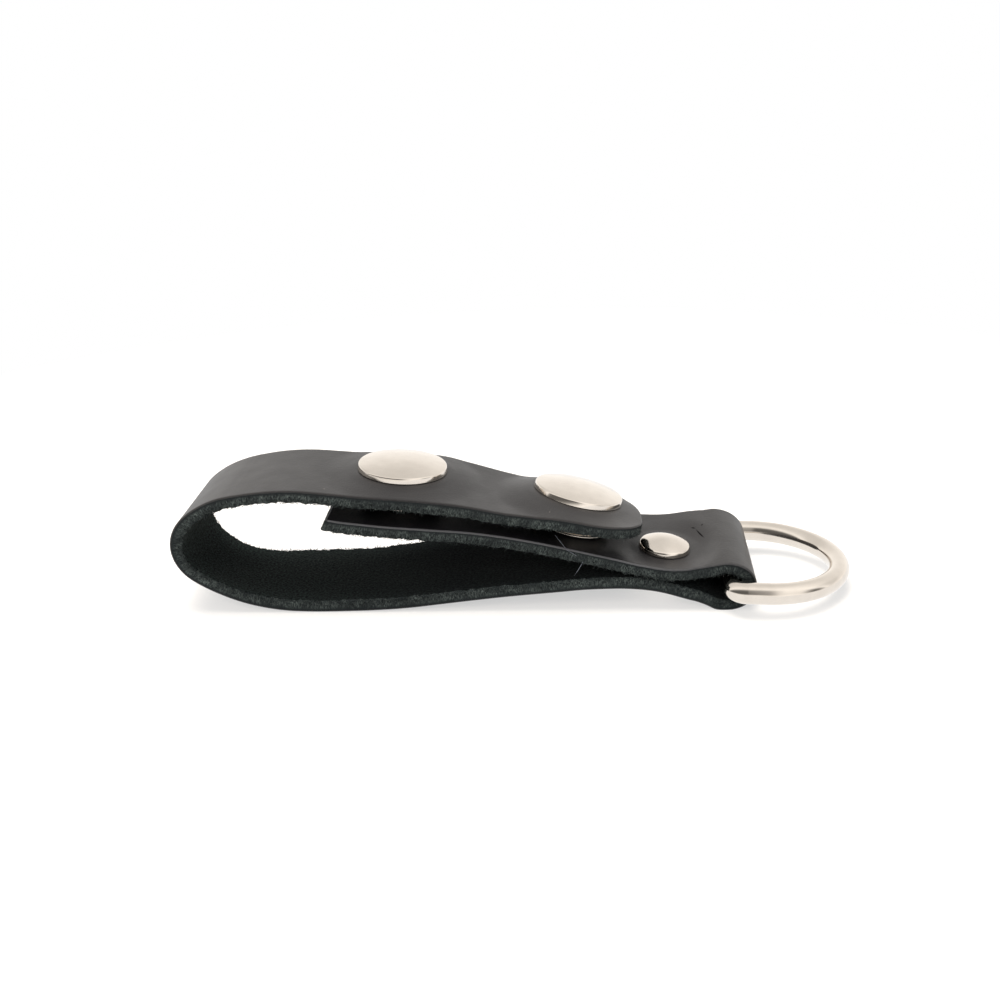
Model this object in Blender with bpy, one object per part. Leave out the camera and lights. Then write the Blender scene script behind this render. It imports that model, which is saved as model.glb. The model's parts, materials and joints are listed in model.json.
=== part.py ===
"""Leather key strap with two press snaps, a rivet and a D-ring.

One strip of leather is folded round the straight bar of a D-ring and riveted there.
Its square-cut tail carries two snap studs. The other end runs back under the tail,
turns up in a wide loop and comes back on top as a flap with two snap caps.

X runs along the strap towards the D-ring, Y across its width and Z up. The strap lies
on Z = 0, and the origin is at the bottom centre of its box. Lengths are in metres and
angles in degrees.
"""
import math

import bmesh
import bpy
from mathutils import Vector

# Leather strip
STRAP_WIDTH = 0.022
LEATHER = 0.002
CLAMP_GAP = 0.0003          # between the two layers under the rivet
FOLD_CLEARANCE = 0.0003     # between the bar and the leather round it
FOLD_MOUTH_RADIUS = 0.006   # reverse bend where each layer leaves the fold
CLAMP_RISE = 0.0012         # the riveted layers lie this much above the bar's axis
CLAMP_SLOPE = 6.0           # and slope down towards it
TAIL_RISE_RADIUS = 0.018
TAIL_TIP_TURN = 6.0         # the free end of the tail curls up
LOWER_SLOPE = 6.5
LOWER_TOP_RADIUS = 0.050
LOWER_BELLY_RADIUS = 0.120
REST_LENGTH = 0.0062        # flat stretch that the strap lies on
FLAP_TIP_TURN = 8.0         # the tip of the flap curls up
FLAP_CORNER_RADIUS = 0.0065
SPLIT_GAP = 0.0003          # cut between the bending flap and the rest of the strip

# Loop: radius and turn of each stretch up to the hinge, and the radius of the stretch past
# it, before all of them are scaled by one factor to close the strip
LOOP_BEND = ((0.041, 15.0), (0.020, 25.0), (0.007, 95.0), (0.015, 35.0))
LOOP_TOP_RADIUS = 0.049

# Where the fittings sit along the strip and across it
RIVET_TO_BAR = 0.01035
RIVET_OFFSET = -0.0022
SNAP_LEAD = 0.0029          # straight leather between the tail's rise and the tip stud's seat
SNAP_PITCH = 0.0286
SNAP_OFFSET = 0.0012
LOOP_SNAP_SLOPE = 5.0
TIP_SNAP_SLOPE = 14.0
TAIL_END = 0.0110           # loop stud to the square-cut end of the tail
FLAP_END = 0.0102           # tip cap to the end of the flap

# Snap fittings
SEAT = 0.00025              # gap where one piece rests on another
SEAT_MARGIN = 0.0003        # flat leather past a fitting's rim
SHEET = 0.0003              # sheet metal of the socket and the stud
CAP_DIAMETER = 0.015
CAP_RIM = 0.00115           # height of the rolled rim
RIM_TUCK = 70.0             # how far a rim rolls under, below its widest ring
RIM_ROLL = 80.0             # and how far over, above it
CAP_DOME = 0.0007           # rise of the crown above the rim
SOCKET_DIAMETER = 0.012
SOCKET_LIP = 0.00025
SOCKET_CLEARANCE = 0.00045  # round the stud's head
STUD_FLANGE_DIAMETER = 0.011
HEAD_DIAMETER = 0.006
HEAD_CROWN = 0.0003         # from the head's widest ring to its top
NECK_DIAMETER = 0.0052
EYELET_DIAMETER = 0.0115
EYELET_RIM = 0.0004
EYELET_DOME = 0.0005
TUBE_DIAMETER = 0.0028      # posts of the cap and the eyelet
TUBE_BORE = 0.0018
FLARE_DIAMETER = 0.0038     # their rolled ends
FLARE_HEIGHT = 0.0003
POST_CLEARANCE = 0.0003     # between a post and the hole it passes through
SPRING_WIRE = 0.0006
SPRING_GAP = 0.00015        # above and below the ring spring
SPRING_OPENING = 30.0
SPRING_SIDE_GAP = 0.0003

# Rivet
RIVET_DIAMETER = 0.0085
RIVET_RIM = 0.0006
RIVET_DOME = 0.0009
RIVET_TUBE_DIAMETER = 0.0038
RIVET_TUBE_BORE = 0.0030
RIVET_POST_DIAMETER = 0.0024

# D-ring
WIRE = 0.0035
RING_SIDE_CLEARANCE = 0.0004
RING_REACH = 0.01815        # bar's axis to the middle of the bow's wire
RING_CORNER_RADIUS = 0.0029
RING_DROOP = 2.5

# Facets
CHORD_ERROR = 0.00004
LARGEST_FACET = 10.0
SHARP_ANGLE = 35.0
FITTING_SIDES = 36
WIRE_SIDES = 12
RING_CORNER_STEPS = 6
RING_BOW_STEPS = 28
SPRING_STEPS = 24
TIP_CORNER_STEPS = 6
DOME_STEPS = 4
RIM_STEPS = 4

# Heights in a snap, above the tail's grain side
STUD_FLANGE_TOP = SEAT + SHEET
SOCKET_BOTTOM = STUD_FLANGE_TOP + SEAT
LIP_TOP = SOCKET_BOTTOM + SOCKET_LIP
SPRING_LEVEL = LIP_TOP + SPRING_GAP + SPRING_WIRE / 2
HEAD_LEVEL = SPRING_LEVEL + SPRING_WIRE / 2 + SPRING_GAP
HEAD_TOP = HEAD_LEVEL + HEAD_CROWN
PLATE_BOTTOM = HEAD_TOP + SEAT
PLATE_TOP = PLATE_BOTTOM + SHEET
SNAP_GAP = PLATE_TOP + SEAT
CAP_SEAT = SNAP_GAP + LEATHER + SEAT
SNAP_SEAT = max(SOCKET_DIAMETER, STUD_FLANGE_DIAMETER, EYELET_DIAMETER) / 2 + SEAT_MARGIN
CAP_REACH = max(CAP_DIAMETER / 2 + SEAT_MARGIN, SNAP_SEAT)

# The fold: radius of the strip's middle line round the bar
FOLD_RADIUS = WIRE / 2 + FOLD_CLEARANCE + LEATHER / 2
LAYER_OFFSET = (LEATHER + CLAMP_GAP) / 2
CLAMP_HALF = RIVET_DIAMETER / 2 + SEAT_MARGIN


class Strip:
    """Middle line of the strip in the XZ plane, as stations of place and heading."""

    def __init__(self, place, heading):
        self.stations = [(Vector(place), heading)]

    def end(self):
        return self.stations[-1]

    def straight(self, length):
        place, heading = self.end()
        self.stations.append((place + length * direction(heading), heading))

    def arc(self, radius, turn):
        """Turn left by a positive angle and right by a negative one."""
        facet = min(LARGEST_FACET, math.degrees(2 * math.acos(1 - CHORD_ERROR / radius)))
        steps = math.ceil(abs(turn) / facet)
        place, heading = self.end()
        side = math.copysign(1, turn)
        centre = place + side * radius * left_of(heading)
        for step in range(1, steps + 1):
            turned = heading + turn * step / steps
            self.stations.append((centre - side * radius * left_of(turned), turned))

    def mark(self):
        return len(self.stations) - 1


def direction(heading):
    """Unit vector along a heading in the XZ plane."""
    return Vector((math.cos(math.radians(heading)), math.sin(math.radians(heading))))


def left_of(heading):
    """Unit vector to the left of a heading: the grain side of the strip."""
    return direction(heading + 90)


def fold_turn(height):
    """Turn of the reverse bend between the fold and a layer at this height off the bar."""
    return math.degrees(math.acos((height + FOLD_MOUTH_RADIUS) / (FOLD_RADIUS + FOLD_MOUTH_RADIUS)))


def tail_strip():
    """The tail from the clamp to its free end, walked away from the D-ring."""
    rivet = Vector((-RIVET_TO_BAR, CLAMP_RISE))
    clamp_end = rivet - CLAMP_HALF * direction(-CLAMP_SLOPE) + LAYER_OFFSET * left_of(-CLAMP_SLOPE)
    tail = Strip(clamp_end, 180 - CLAMP_SLOPE)
    tail.arc(TAIL_RISE_RADIUS, CLAMP_SLOPE - TIP_SNAP_SLOPE)
    tail.straight(SNAP_LEAD + SNAP_SEAT)
    tip_stud = tail.end()
    tail.straight(SNAP_SEAT)
    crown_turn = TIP_SNAP_SLOPE - LOOP_SNAP_SLOPE
    crown_radius = (SNAP_PITCH - 2 * SNAP_SEAT) / math.radians(crown_turn)
    tail.arc(crown_radius, crown_turn)
    tail.straight(SNAP_SEAT)
    loop_stud = tail.end()
    tail.straight(SNAP_SEAT)
    tail.arc((TAIL_END - SNAP_SEAT) / math.radians(TAIL_TIP_TURN), -TAIL_TIP_TURN)
    return tail, tip_stud, loop_stud, crown_radius


def opposite(stations):
    """The same stations walked the other way."""
    return [(place, heading - 180) for place, heading in reversed(stations)]


def strap_line():
    """Stations of the whole strip from the tail's end to the flap's tip, the hinge and the studs."""
    tail, tip_stud, loop_stud, crown_radius = tail_strip()
    strip = Strip((0, 0), 0)
    strip.stations = opposite(tail.stations)

    # Clamp, fold round the bar, clamp
    rivet = Vector((-RIVET_TO_BAR, CLAMP_RISE))
    clamp_height = rivet.dot(left_of(-CLAMP_SLOPE))
    clamp_length = CLAMP_HALF - rivet.dot(direction(-CLAMP_SLOPE))
    tail_turn = fold_turn(LAYER_OFFSET + clamp_height)
    lower_turn = fold_turn(LAYER_OFFSET - clamp_height)
    mouth = FOLD_RADIUS + FOLD_MOUTH_RADIUS
    strip.straight(clamp_length - mouth * math.sin(math.radians(tail_turn)))
    strip.arc(FOLD_MOUTH_RADIUS, tail_turn)
    strip.arc(FOLD_RADIUS, -(tail_turn + 180 + lower_turn))
    strip.arc(FOLD_MOUTH_RADIUS, lower_turn)
    strip.straight(clamp_length - mouth * math.sin(math.radians(lower_turn)))

    # Lower run down to the level that it rests on
    strip.arc(LOWER_TOP_RADIUS, CLAMP_SLOPE + LOWER_SLOPE)
    belly_drop = LOWER_BELLY_RADIUS * (1 - math.cos(math.radians(LOWER_SLOPE)))
    drop = strip.end()[0].y + FOLD_RADIUS - belly_drop
    strip.straight(drop / math.sin(math.radians(LOWER_SLOPE)))
    strip.arc(LOWER_BELLY_RADIUS, -LOWER_SLOPE)
    strip.straight(REST_LENGTH)

    # The loop is scaled, and the flap before the loop cap set, so that the strip closes
    flap_offset = LEATHER + SNAP_GAP
    loop_cap = loop_stud[0] - flap_offset * left_of(loop_stud[1])
    flap_heading = -LOOP_SNAP_SLOPE
    top_turn = 180 + LOOP_SNAP_SLOPE - sum(turn for _, turn in LOOP_BEND)
    bend = Strip((0, 0), 180)
    for radius, turn in LOOP_BEND:
        bend.arc(radius, -turn)
    bend.arc(LOOP_TOP_RADIUS, -top_turn)
    reach = bend.end()[0]
    along = direction(flap_heading)
    gap = loop_cap - SNAP_SEAT * along - strip.end()[0]
    determinant = reach.x * along.y - reach.y * along.x
    scale = (gap.x * along.y - gap.y * along.x) / determinant
    flap_lead = (reach.x * gap.y - reach.y * gap.x) / determinant
    for radius, turn in LOOP_BEND:
        strip.arc(radius * scale, -turn)
    hinge_mark = strip.mark()
    strip.arc(LOOP_TOP_RADIUS * scale, -top_turn)
    strip.straight(flap_lead + SNAP_SEAT)
    strip.straight(SNAP_SEAT)
    strip.arc(crown_radius + flap_offset, LOOP_SNAP_SLOPE - TIP_SNAP_SLOPE)
    strip.straight(SNAP_SEAT)
    strip.straight(CAP_REACH)
    strip.arc((FLAP_END - CAP_REACH) / math.radians(FLAP_TIP_TURN), FLAP_TIP_TURN)
    return strip.stations, hinge_mark, tip_stud, loop_stud


def finish(name, colour, roughness, metallic):
    """A plain material."""
    made = bpy.data.materials.new(name)
    made.use_nodes = True
    shader = made.node_tree.nodes["Principled BSDF"]
    shader.inputs["Base Color"].default_value = (*colour, 1)
    shader.inputs["Roughness"].default_value = roughness
    shader.inputs["Metallic"].default_value = metallic
    return made


def add_object(name, data, material, parent, location=(0, 0, 0), tilt=0.0):
    """Link an object, placed under its parent and turned about Y."""
    made = bpy.data.objects.new(name, data)
    if material:
        data.materials.append(material)
    made.parent = parent
    made.location = location
    made.rotation_euler = (0, math.radians(tilt), 0)
    bpy.context.scene.collection.objects.link(made)
    return made


def mesh_from(name, shape):
    """Close a bmesh into a mesh with outward faces and smooth shading."""
    bmesh.ops.recalc_face_normals(shape, faces=shape.faces[:])
    mesh = bpy.data.meshes.new(name)
    shape.to_mesh(mesh)
    shape.free()
    mesh.shade_smooth()
    mesh.set_sharp_from_angle(angle=math.radians(SHARP_ANGLE))
    return mesh


def leather_mesh(name, stations, half_widths):
    """Sweep the strip's rectangular section along its stations."""
    shape = bmesh.new()
    rings = []
    for (place, heading), half in zip(stations, half_widths):
        grain = place + LEATHER / 2 * left_of(heading)
        flesh = place - LEATHER / 2 * left_of(heading)
        corners = ((grain, -half), (grain, half), (flesh, half), (flesh, -half))
        rings.append([shape.verts.new((point.x, side, point.y)) for point, side in corners])
    for first, second in zip(rings, rings[1:]):
        for corner in range(4):
            following = (corner + 1) % 4
            shape.faces.new((first[corner], first[following], second[following], second[corner]))
    shape.faces.new(rings[0])
    shape.faces.new(rings[-1])
    return mesh_from(name, shape)


def turned_mesh(name, profile, closed):
    """Turn a profile of (radius, height) points about Z."""
    shape = bmesh.new()
    corners = [shape.verts.new((radius, 0, height)) for radius, height in profile]
    edges = [shape.edges.new(pair) for pair in zip(corners, corners[1:])]
    if closed:
        edges.append(shape.edges.new((corners[-1], corners[0])))
    bmesh.ops.spin(shape, geom=corners + edges, axis=(0, 0, 1), cent=(0, 0, 0),
                   steps=FITTING_SIDES, angle=math.tau, use_merge=True)
    bmesh.ops.remove_doubles(shape, verts=shape.verts[:], dist=1e-6)
    return mesh_from(name, shape)


def wire_curve(name, points, diameter, cyclic):
    """A round wire along points in the XY plane."""
    curve = bpy.data.curves.new(name, "CURVE")
    curve.dimensions = "3D"
    curve.bevel_depth = diameter / 2
    curve.bevel_resolution = WIRE_SIDES // 2 - 2
    curve.use_fill_caps = not cyclic
    spline = curve.splines.new("POLY")
    spline.points.add(len(points) - 1)
    for point, (x, y) in zip(spline.points, points):
        point.co = (x, y, 0, 1)
    spline.use_cyclic_u = cyclic
    spline.use_smooth = True
    return curve


def crown(radius, rim, dome, base):
    """Profile of a domed cap from its rim to its middle, standing on a base height."""
    rim_depth = rim / 2
    profile = []
    for step in range(RIM_STEPS + 1):
        angle = math.radians((RIM_TUCK + RIM_ROLL) * step / RIM_STEPS - RIM_TUCK)
        inset = rim_depth * (1 - math.cos(angle))
        profile.append((radius - inset, base + rim_depth * (1 + math.sin(angle))))
    edge_radius, edge_height = profile[-1]
    for step in range(1, DOME_STEPS + 1):
        share = 1 - step / DOME_STEPS
        profile.append((edge_radius * share, edge_height + dome * (1 - share * share)))
    return profile


def upside_down(profile, level):
    """Mirror a profile in a level plane."""
    return [(radius, 2 * level - height) for radius, height in profile]


def post_hole(name, target, parent, location, tilt, diameter, depth):
    """Punch a round hole through the leather."""
    shape = bmesh.new()
    bmesh.ops.create_cone(shape, cap_ends=True, segments=FITTING_SIDES, radius1=diameter / 2,
                          radius2=diameter / 2, depth=depth)
    cutter = add_object(name, mesh_from(name, shape), None, parent, location, tilt)
    cutter.hide_render = True
    cutter.display_type = "WIRE"
    punch = target.modifiers.new(name, "BOOLEAN")
    punch.object = cutter
    punch.solver = "EXACT"


def cap_profile():
    """Cap: tubular post with a rolled end, and a crown with a rolled rim."""
    flare_top = PLATE_BOTTOM - SEAT
    flare_bottom = flare_top - FLARE_HEIGHT
    tube = TUBE_DIAMETER / 2
    bore = TUBE_BORE / 2
    post = [(0, CAP_SEAT), (bore, CAP_SEAT), (bore, flare_bottom), (FLARE_DIAMETER / 2, flare_bottom),
            (FLARE_DIAMETER / 2, flare_bottom + FLARE_HEIGHT / 2), (tube, flare_top), (tube, CAP_SEAT)]
    return post + crown(CAP_DIAMETER / 2, CAP_RIM, CAP_DOME, CAP_SEAT)


def socket_profile():
    """Socket: a drum with a groove for the ring spring behind its lip."""
    outer = SOCKET_DIAMETER / 2
    mouth = HEAD_DIAMETER / 2 + SOCKET_CLEARANCE
    groove = spring_radius() + SPRING_WIRE / 2 + SPRING_SIDE_GAP
    hole = TUBE_DIAMETER / 2 + POST_CLEARANCE
    return [(hole, PLATE_BOTTOM), (hole, PLATE_TOP), (outer, PLATE_TOP), (outer, LIP_TOP),
            (outer - SOCKET_LIP, SOCKET_BOTTOM), (mouth + SOCKET_LIP / 2, SOCKET_BOTTOM),
            (mouth, SOCKET_BOTTOM + SOCKET_LIP / 2), (mouth, LIP_TOP), (groove, LIP_TOP),
            (groove, PLATE_BOTTOM)]


def spring_radius():
    """Middle of the ring spring's wire, which closes on the neck below the head."""
    return NECK_DIAMETER / 2 + SPRING_SIDE_GAP + SPRING_WIRE / 2


def stud_profile():
    """Stud: a flange with a hollow, waisted head."""
    flange = STUD_FLANGE_DIAMETER / 2
    head = HEAD_DIAMETER / 2
    neck = NECK_DIAMETER / 2
    hole = TUBE_DIAMETER / 2 + POST_CLEARANCE
    hollow = FLARE_DIAMETER / 2 + POST_CLEARANCE
    return [(hole, SEAT), (flange, SEAT), (flange, SEAT + SHEET / 2),
            (flange - SHEET / 2, STUD_FLANGE_TOP), (head, STUD_FLANGE_TOP), (neck, SOCKET_BOTTOM),
            (neck, SPRING_LEVEL), (head, HEAD_LEVEL), ((head + neck) / 2, HEAD_TOP), (hollow, HEAD_TOP),
            (hollow, STUD_FLANGE_TOP), (hole, STUD_FLANGE_TOP)]


def eyelet_profile():
    """Eyelet: a domed washer under the tail with a tubular post rolled inside the stud."""
    level = -LEATHER - SEAT
    tube = TUBE_DIAMETER / 2
    bore = TUBE_BORE / 2
    flare_bottom = STUD_FLANGE_TOP + SEAT
    flare_top = flare_bottom + FLARE_HEIGHT
    post = [(0, level), (bore, level), (bore, flare_top), (FLARE_DIAMETER / 2, flare_top),
            (FLARE_DIAMETER / 2, flare_top - FLARE_HEIGHT / 2), (tube, flare_bottom), (tube, level)]
    return post + upside_down(crown(EYELET_DIAMETER / 2, EYELET_RIM, EYELET_DOME, level), level)


def rivet_cap_profile():
    """Rivet cap: a crown with a tube that takes the post."""
    level = LEATHER + CLAMP_GAP / 2 + SEAT
    bore = RIVET_TUBE_BORE / 2
    tube = RIVET_TUBE_DIAMETER / 2
    mouth = -CLAMP_GAP / 2 - LEATHER / 2
    post = [(0, level), (bore, level), (bore, mouth), (tube, mouth), (tube, level)]
    return post + crown(RIVET_DIAMETER / 2, RIVET_RIM, RIVET_DOME, level)


def rivet_post_profile():
    """Rivet post: a crown under the strap with a solid post inside the tube."""
    level = -LEATHER - CLAMP_GAP / 2 - SEAT
    post = RIVET_POST_DIAMETER / 2
    top = LEATHER + CLAMP_GAP / 2
    stem = [(0, top), (post - SEAT, top), (post, top - SEAT), (post, level)]
    return stem + upside_down(crown(RIVET_DIAMETER / 2, RIVET_RIM, RIVET_DOME, level), level)


def ring_points():
    """Middle line of the D-ring's wire: straight bar, two legs and a half-round bow."""
    half = STRAP_WIDTH / 2 + RING_SIDE_CLEARANCE + WIRE / 2
    corner = RING_CORNER_RADIUS
    bend = []
    for step in range(RING_CORNER_STEPS + 1):
        angle = math.radians(180 + 90 * step / RING_CORNER_STEPS)
        bend.append((corner * (1 + math.cos(angle)), corner - half + corner * math.sin(angle)))
    leg_end = RING_REACH - half
    bow = []
    for step in range(RING_BOW_STEPS + 1):
        angle = math.radians(180 * step / RING_BOW_STEPS - 90)
        bow.append((leg_end + half * math.cos(angle), half * math.sin(angle)))
    return bend + bow + [(x, -y) for x, y in reversed(bend)]


def spring_points():
    """Middle line of the split ring spring."""
    radius = spring_radius()
    turn = (360 - SPRING_OPENING) / SPRING_STEPS
    angles = [math.radians(SPRING_OPENING / 2 + turn * step) for step in range(SPRING_STEPS + 1)]
    return [(radius * math.cos(angle), radius * math.sin(angle)) for angle in angles]


def flap_half_widths(stations):
    """Half width along the flap, drawn in at its tip by the rounded corners."""
    half = STRAP_WIDTH / 2
    to_tip = 0.0
    widths = []
    following = stations[-1][0]
    for place, _ in reversed(stations):
        to_tip += (following - place).length
        following = place
        inset = max(FLAP_CORNER_RADIUS - to_tip, 0)
        widths.append(half - FLAP_CORNER_RADIUS + math.sqrt(FLAP_CORNER_RADIUS ** 2 - inset ** 2))
    return widths[::-1]


def flap_stations(stations):
    """The flap's stations, with extra ones where the tip's corners are rounded."""
    lengths = [0.0]
    for (place, _), (following, _) in zip(stations[:-1], stations[1:]):
        lengths.append(lengths[-1] + (following - place).length)
    made = list(zip(lengths, stations))
    for step in range(1, TIP_CORNER_STEPS + 1):
        angle = math.radians(90 * step / TIP_CORNER_STEPS)
        length = lengths[-1] - FLAP_CORNER_RADIUS * (1 - math.cos(angle))
        index = max(i for i, known in enumerate(lengths) if known <= length)
        (place, heading), (following, next_heading) = stations[index], stations[index + 1]
        share = (length - lengths[index]) / (lengths[index + 1] - lengths[index])
        made.append((length, (place.lerp(following, share), heading + share * (next_heading - heading))))
    made.sort(key=lambda entry: entry[0])
    return [station for _, station in made]


def add_snap(name, stud, body, flap, root, hinge, hinge_place, nickel, steel):
    """One press snap: stud and eyelet on the tail, cap, socket and spring on the flap."""
    place, heading = stud
    grain = place - LEATHER / 2 * left_of(heading)
    tilt = 180 - heading
    here = Vector((grain.x, SNAP_OFFSET, grain.y))
    on_flap = here - hinge_place
    up = Vector((-left_of(heading).x, 0, -left_of(heading).y))
    hole = TUBE_DIAMETER + 2 * POST_CLEARANCE
    punch = 2 * LEATHER
    post_hole(name + "_tail_hole", body, root, here - LEATHER / 2 * up, tilt, hole, punch)
    flap_middle = on_flap + (SNAP_GAP + LEATHER / 2) * up
    post_hole(name + "_flap_hole", flap, hinge, flap_middle, tilt, hole, punch)
    for piece, profile, closed in (("stud", stud_profile(), True), ("eyelet", eyelet_profile(), False)):
        full_name = name + "_" + piece
        add_object(full_name, turned_mesh(full_name, profile, closed), nickel, root, here, tilt)
    for piece, profile, closed in (("cap", cap_profile(), False), ("socket", socket_profile(), True)):
        full_name = name + "_" + piece
        add_object(full_name, turned_mesh(full_name, profile, closed), nickel, hinge, on_flap, tilt)
    spring_name = name + "_spring"
    wire = wire_curve(spring_name, spring_points(), SPRING_WIRE, False)
    add_object(spring_name, wire, steel, hinge, on_flap + SPRING_LEVEL * up, tilt)


def build():
    """Lay the strip out round the bar's axis and hang every piece on it."""
    for old in list(bpy.data.objects):
        bpy.data.objects.remove(old, do_unlink=True)

    stations, hinge_mark, tip_stud, loop_stud = strap_line()
    leather_black = finish("black_leather", (0.028, 0.029, 0.032), 0.5, 0.0)
    nickel = finish("nickel_plate", (0.78, 0.74, 0.68), 0.16, 1.0)
    steel = finish("spring_steel", (0.55, 0.55, 0.56), 0.3, 1.0)

    # The bar's axis is the origin of the profile, placed so that the box is centred on X
    left_end = min((place + LEATHER / 2 * left_of(heading)).x for place, heading in stations)
    right_end = RING_REACH * math.cos(math.radians(RING_DROOP)) + WIRE / 2
    root = bpy.data.objects.new("bar_axis", None)
    root.location = (-(left_end + right_end) / 2, 0, FOLD_RADIUS + LEATHER / 2)
    bpy.context.scene.collection.objects.link(root)

    # The flap bends away on its grain side, where the hinge stands in for the bending leather
    hinge_point = stations[hinge_mark][0] + LEATHER / 2 * left_of(stations[hinge_mark][1])
    hinge_place = Vector((hinge_point.x, 0, hinge_point.y))
    hinge = add_object("flap_hinge", None, None, root, hinge_place)

    half = STRAP_WIDTH / 2
    body_stations = stations[:hinge_mark + 1]
    body = add_object("strap_body", leather_mesh("strap_body", body_stations, [half] * len(body_stations)),
                      leather_black, root)
    split_place, split_heading = stations[hinge_mark]
    split = (split_place + SPLIT_GAP * direction(split_heading), split_heading)
    moving = flap_stations([split] + stations[hinge_mark + 1:])
    flap = add_object("strap_flap", leather_mesh("strap_flap", moving, flap_half_widths(moving)),
                      leather_black, hinge, -hinge_place)

    for name, stud in (("loop_snap", loop_stud), ("tip_snap", tip_stud)):
        add_snap(name, stud, body, flap, root, hinge, hinge_place, nickel, steel)

    rivet_place = Vector((-RIVET_TO_BAR, RIVET_OFFSET, CLAMP_RISE))
    rivet_hole = RIVET_TUBE_DIAMETER + 2 * POST_CLEARANCE
    post_hole("rivet_hole", body, root, rivet_place, CLAMP_SLOPE, rivet_hole, 3 * LEATHER + CLAMP_GAP)
    for name, profile in (("rivet_cap", rivet_cap_profile()), ("rivet_post", rivet_post_profile())):
        add_object(name, turned_mesh(name, profile, False), nickel, root, rivet_place, CLAMP_SLOPE)

    ring_wire = wire_curve("d_ring", ring_points(), WIRE, True)
    add_object("d_ring", ring_wire, nickel, root, tilt=RING_DROOP)


build()
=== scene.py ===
"""Looks of a black leather key strap with two press snaps, a rivet and a D-ring."""
import json
import math
import random

import bmesh
import bpy
import numpy as np
from mathutils import Matrix, Vector, noise


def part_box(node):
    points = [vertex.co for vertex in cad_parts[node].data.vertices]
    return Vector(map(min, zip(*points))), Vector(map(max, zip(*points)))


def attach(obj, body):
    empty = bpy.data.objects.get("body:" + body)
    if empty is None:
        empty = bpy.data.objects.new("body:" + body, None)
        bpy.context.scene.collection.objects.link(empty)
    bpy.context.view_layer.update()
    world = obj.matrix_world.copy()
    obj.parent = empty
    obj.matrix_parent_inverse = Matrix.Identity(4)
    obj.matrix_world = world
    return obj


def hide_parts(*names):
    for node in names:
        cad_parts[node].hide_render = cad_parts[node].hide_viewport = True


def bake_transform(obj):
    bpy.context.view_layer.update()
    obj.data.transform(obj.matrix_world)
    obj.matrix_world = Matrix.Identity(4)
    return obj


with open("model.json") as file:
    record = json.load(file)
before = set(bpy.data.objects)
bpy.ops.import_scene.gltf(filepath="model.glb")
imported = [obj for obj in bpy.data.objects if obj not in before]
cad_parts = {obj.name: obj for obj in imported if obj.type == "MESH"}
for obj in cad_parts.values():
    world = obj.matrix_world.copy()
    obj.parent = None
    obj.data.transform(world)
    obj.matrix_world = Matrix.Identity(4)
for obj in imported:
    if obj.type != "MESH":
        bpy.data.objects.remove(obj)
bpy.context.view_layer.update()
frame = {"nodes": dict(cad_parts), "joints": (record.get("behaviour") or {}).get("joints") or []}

# View: a 50 mm lens a hand's breadth away, looking down on the strap's near edge from a
# little right of its middle, and held slightly askew.
MM = 0.001
LENS_MM = 49.86
SENSOR_MM = 36.0
CAMERA_PLACE_MM = (12.8, -214.6, 98.4)
CAMERA_DOWN = 21.14
CAMERA_TURN = 3.99
CAMERA_ROLL = -2.09
CLIP_START = 10 * MM

camera_data = bpy.data.cameras.new("camera")
camera_data.lens = LENS_MM
camera_data.sensor_width = SENSOR_MM
camera_data.clip_start = CLIP_START
camera = bpy.data.objects.new("camera", camera_data)
turn = Matrix.Rotation(math.radians(CAMERA_TURN), 4, "Z")
pitch = Matrix.Rotation(math.radians(90 - CAMERA_DOWN), 4, "X")
roll = Matrix.Rotation(math.radians(CAMERA_ROLL), 4, "Z")
camera.matrix_world = Matrix.Translation(Vector(CAMERA_PLACE_MM) * MM) @ turn @ pitch @ roll
bpy.context.scene.collection.objects.link(camera)
bpy.context.scene.camera = camera
bpy.context.scene.view_settings.view_transform = "Standard"


# Studio: a white paper floor under a large soft lamp, in a pale room whose dark ceiling gives the
# polished metal its dark lines.
FLOOR_SIZE = 12.0
FLOOR_COLOUR = "#f4f3f1"
SHADOW_SHARE = 0.45
SHADOW_REACH = (0.09, 0.2)
ROOM_LIGHT = 0.62
MIRRORED_ROOM = 1.5
MIRRORED_FLOOR = 1.15
LAMP_WARMTH = "#fff6ec"


def linear(hex_colour):
    """An sRGB hex colour as linear RGBA."""
    parts = [int(hex_colour[i:i + 2], 16) / 255 for i in (1, 3, 5)]
    return (*[c / 12.92 if c <= 0.04045 else ((c + 0.055) / 1.055) ** 2.4 for c in parts], 1.0)


def add_node(tree, kind, sockets=None, **settings):
    """Add a shader node, set its properties, then fill its sockets with values or links."""
    made = tree.nodes.new(kind)
    for name, value in settings.items():
        setattr(made, name, value)
    for socket, value in (sockets or {}).items():
        if isinstance(value, bpy.types.NodeSocket):
            tree.links.new(value, made.inputs[socket])
        else:
            made.inputs[socket].default_value = value
    return made


def fill_ramp(ramp_node, stops, tint=(1, 1, 1)):
    """Give a colour ramp its stops, as (position, level) pairs in one tint."""
    ramp = ramp_node.color_ramp
    while len(ramp.elements) < len(stops):
        ramp.elements.new(1.0)
    for stop, (position, level) in zip(ramp.elements, stops):
        stop.position = position
        stop.color = (*[level * part for part in tint], 1)
    ramp.interpolation = "B_SPLINE"


def new_material(name):
    """An empty node material and its output node."""
    made = bpy.data.materials.new(name)
    made.use_nodes = True
    made.node_tree.nodes.clear()
    return made, made.node_tree, made.node_tree.nodes.new("ShaderNodeOutputMaterial")


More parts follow.
